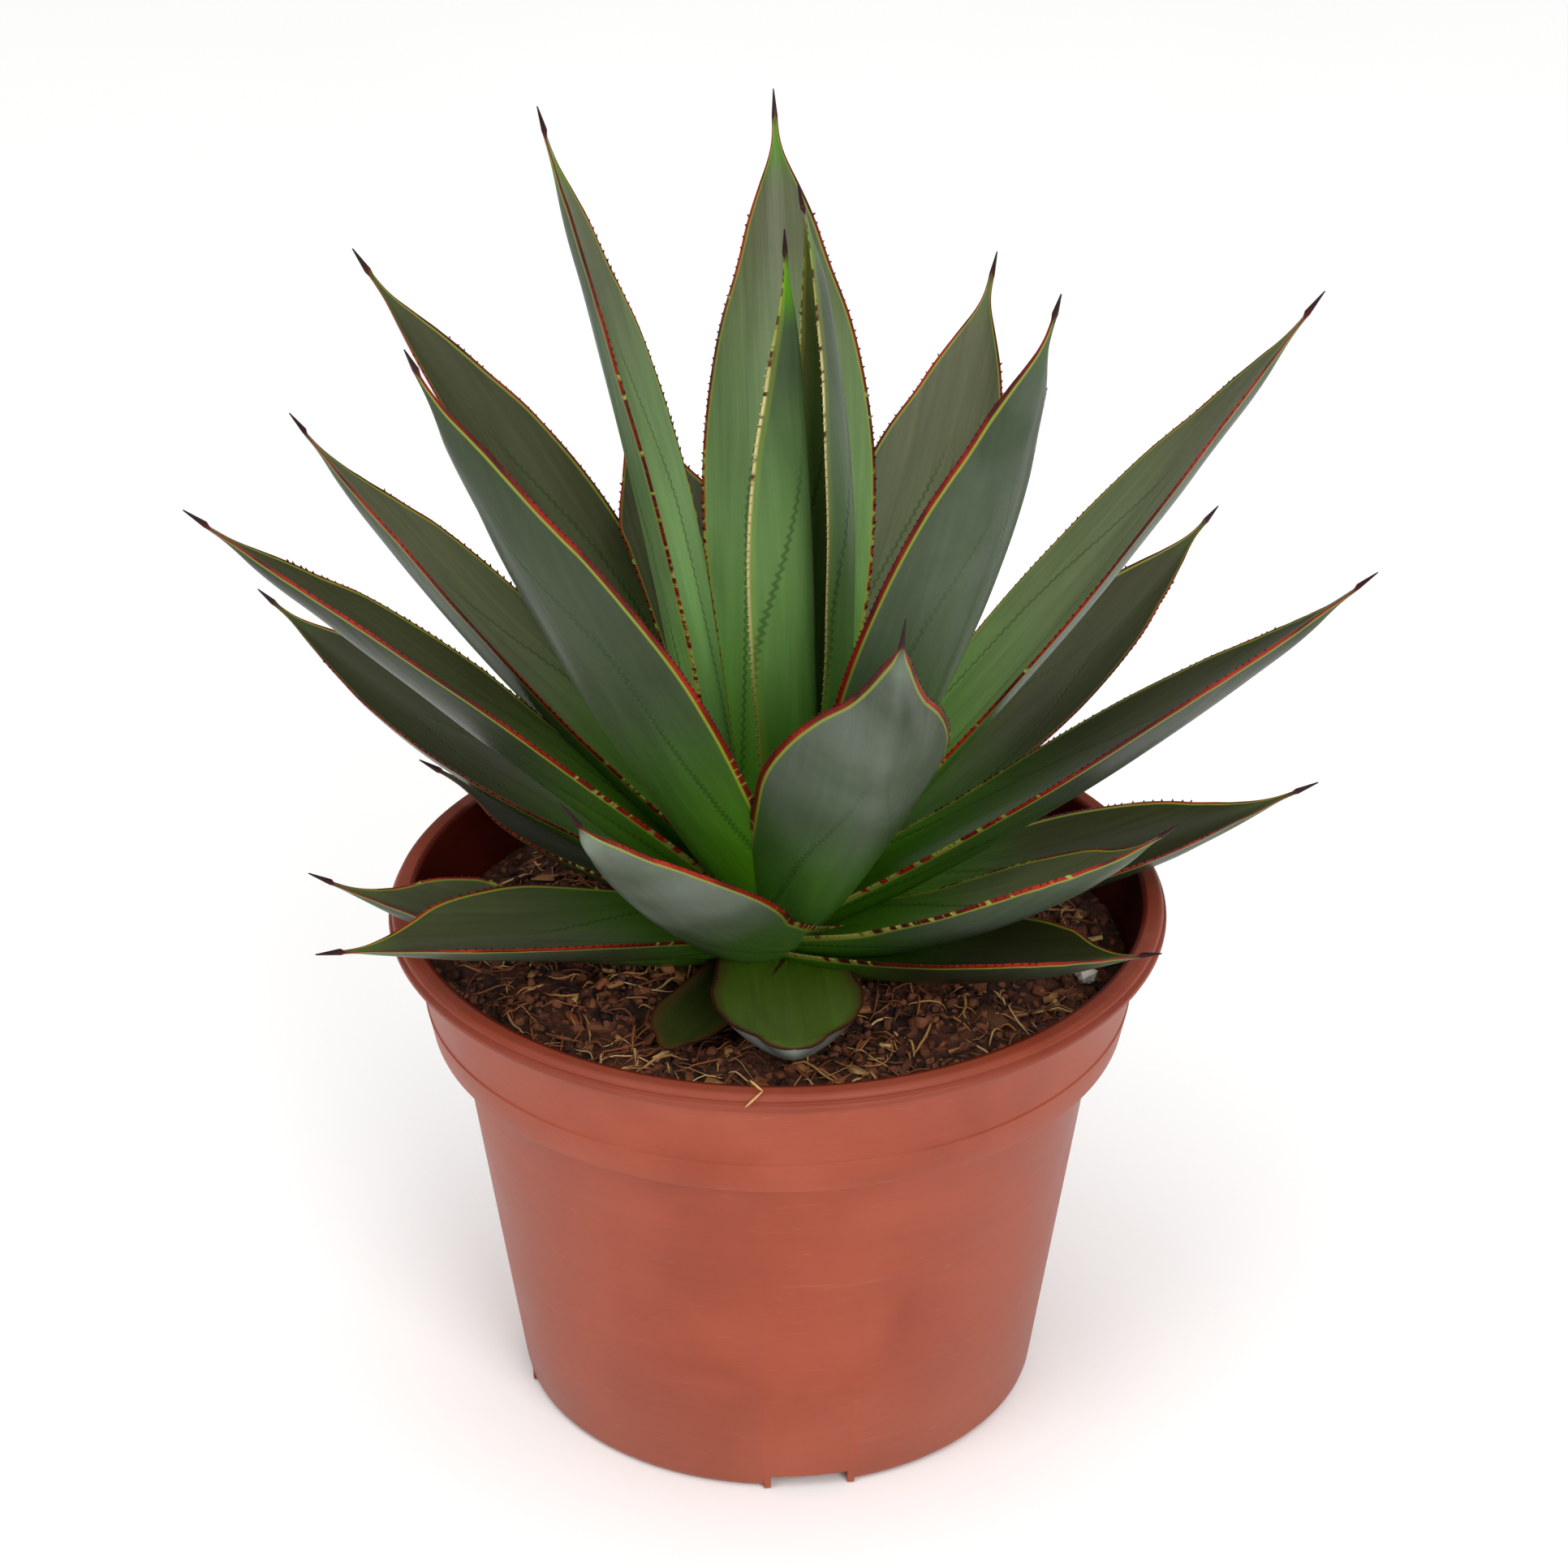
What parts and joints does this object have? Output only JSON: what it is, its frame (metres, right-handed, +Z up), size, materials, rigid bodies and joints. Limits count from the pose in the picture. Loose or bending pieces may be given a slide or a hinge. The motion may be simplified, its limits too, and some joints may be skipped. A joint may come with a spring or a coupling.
{
  "type": "potted agave",
  "caption": "Agave rosette of stiff gutter-shaped leaves with dark thorns, growing in potting mix in a plain round moulded plastic nursery pot.",
  "frame": {"origin": "centre of the flat underside of the pot, on the pot's axis, at the level that it stands on", "axes": "+Z up along the pot's axis; -Y towards the front, where the shortest leaves and a drain notch are; +X to the right"},
  "size_m": [0.2426, 0.2112, 0.2964],
  "materials": {
    "pot": "moulded terracotta-coloured polypropylene, fine satin",
    "soil": "dark peat and coir potting mix with tan fibres and bark bits",
    "stem": "pale fibrous plant stem",
    "root": "pale tan root skin",
    "leaf": "waxy blue-green to grey-green leaf skin, bright green towards the base, maroon toothed margin"
  },
  "bodies": {
    "root": {"pot": "pot", "soil": "soil", "stem": "stem", "root_1": "root", "root_2": "root", "root_3": "root", "root_4": "root", "root_5": "root", "root_6": "root", "outer_leaf_01": "leaf", "outer_leaf_02": "leaf", "outer_leaf_03": "leaf", "outer_leaf_04": "leaf", "outer_leaf_05": "leaf", "outer_leaf_06": "leaf", "outer_leaf_07": "leaf", "outer_leaf_08": "leaf", "outer_leaf_09": "leaf", "middle_leaf_01": "leaf", "middle_leaf_02": "leaf", "middle_leaf_03": "leaf", "middle_leaf_04": "leaf", "middle_leaf_05": "leaf", "middle_leaf_06": "leaf", "middle_leaf_07": "leaf", "middle_leaf_08": "leaf", "middle_leaf_09": "leaf", "inner_leaf_01": "leaf", "inner_leaf_02": "leaf", "inner_leaf_03": "leaf", "inner_leaf_04": "leaf", "inner_leaf_05": "leaf", "inner_leaf_06": "leaf", "inner_leaf_07": "leaf", "inner_leaf_08": "leaf", "heart_leaf_01": "leaf", "heart_leaf_02": "leaf"}
  },
  "joints": []
}
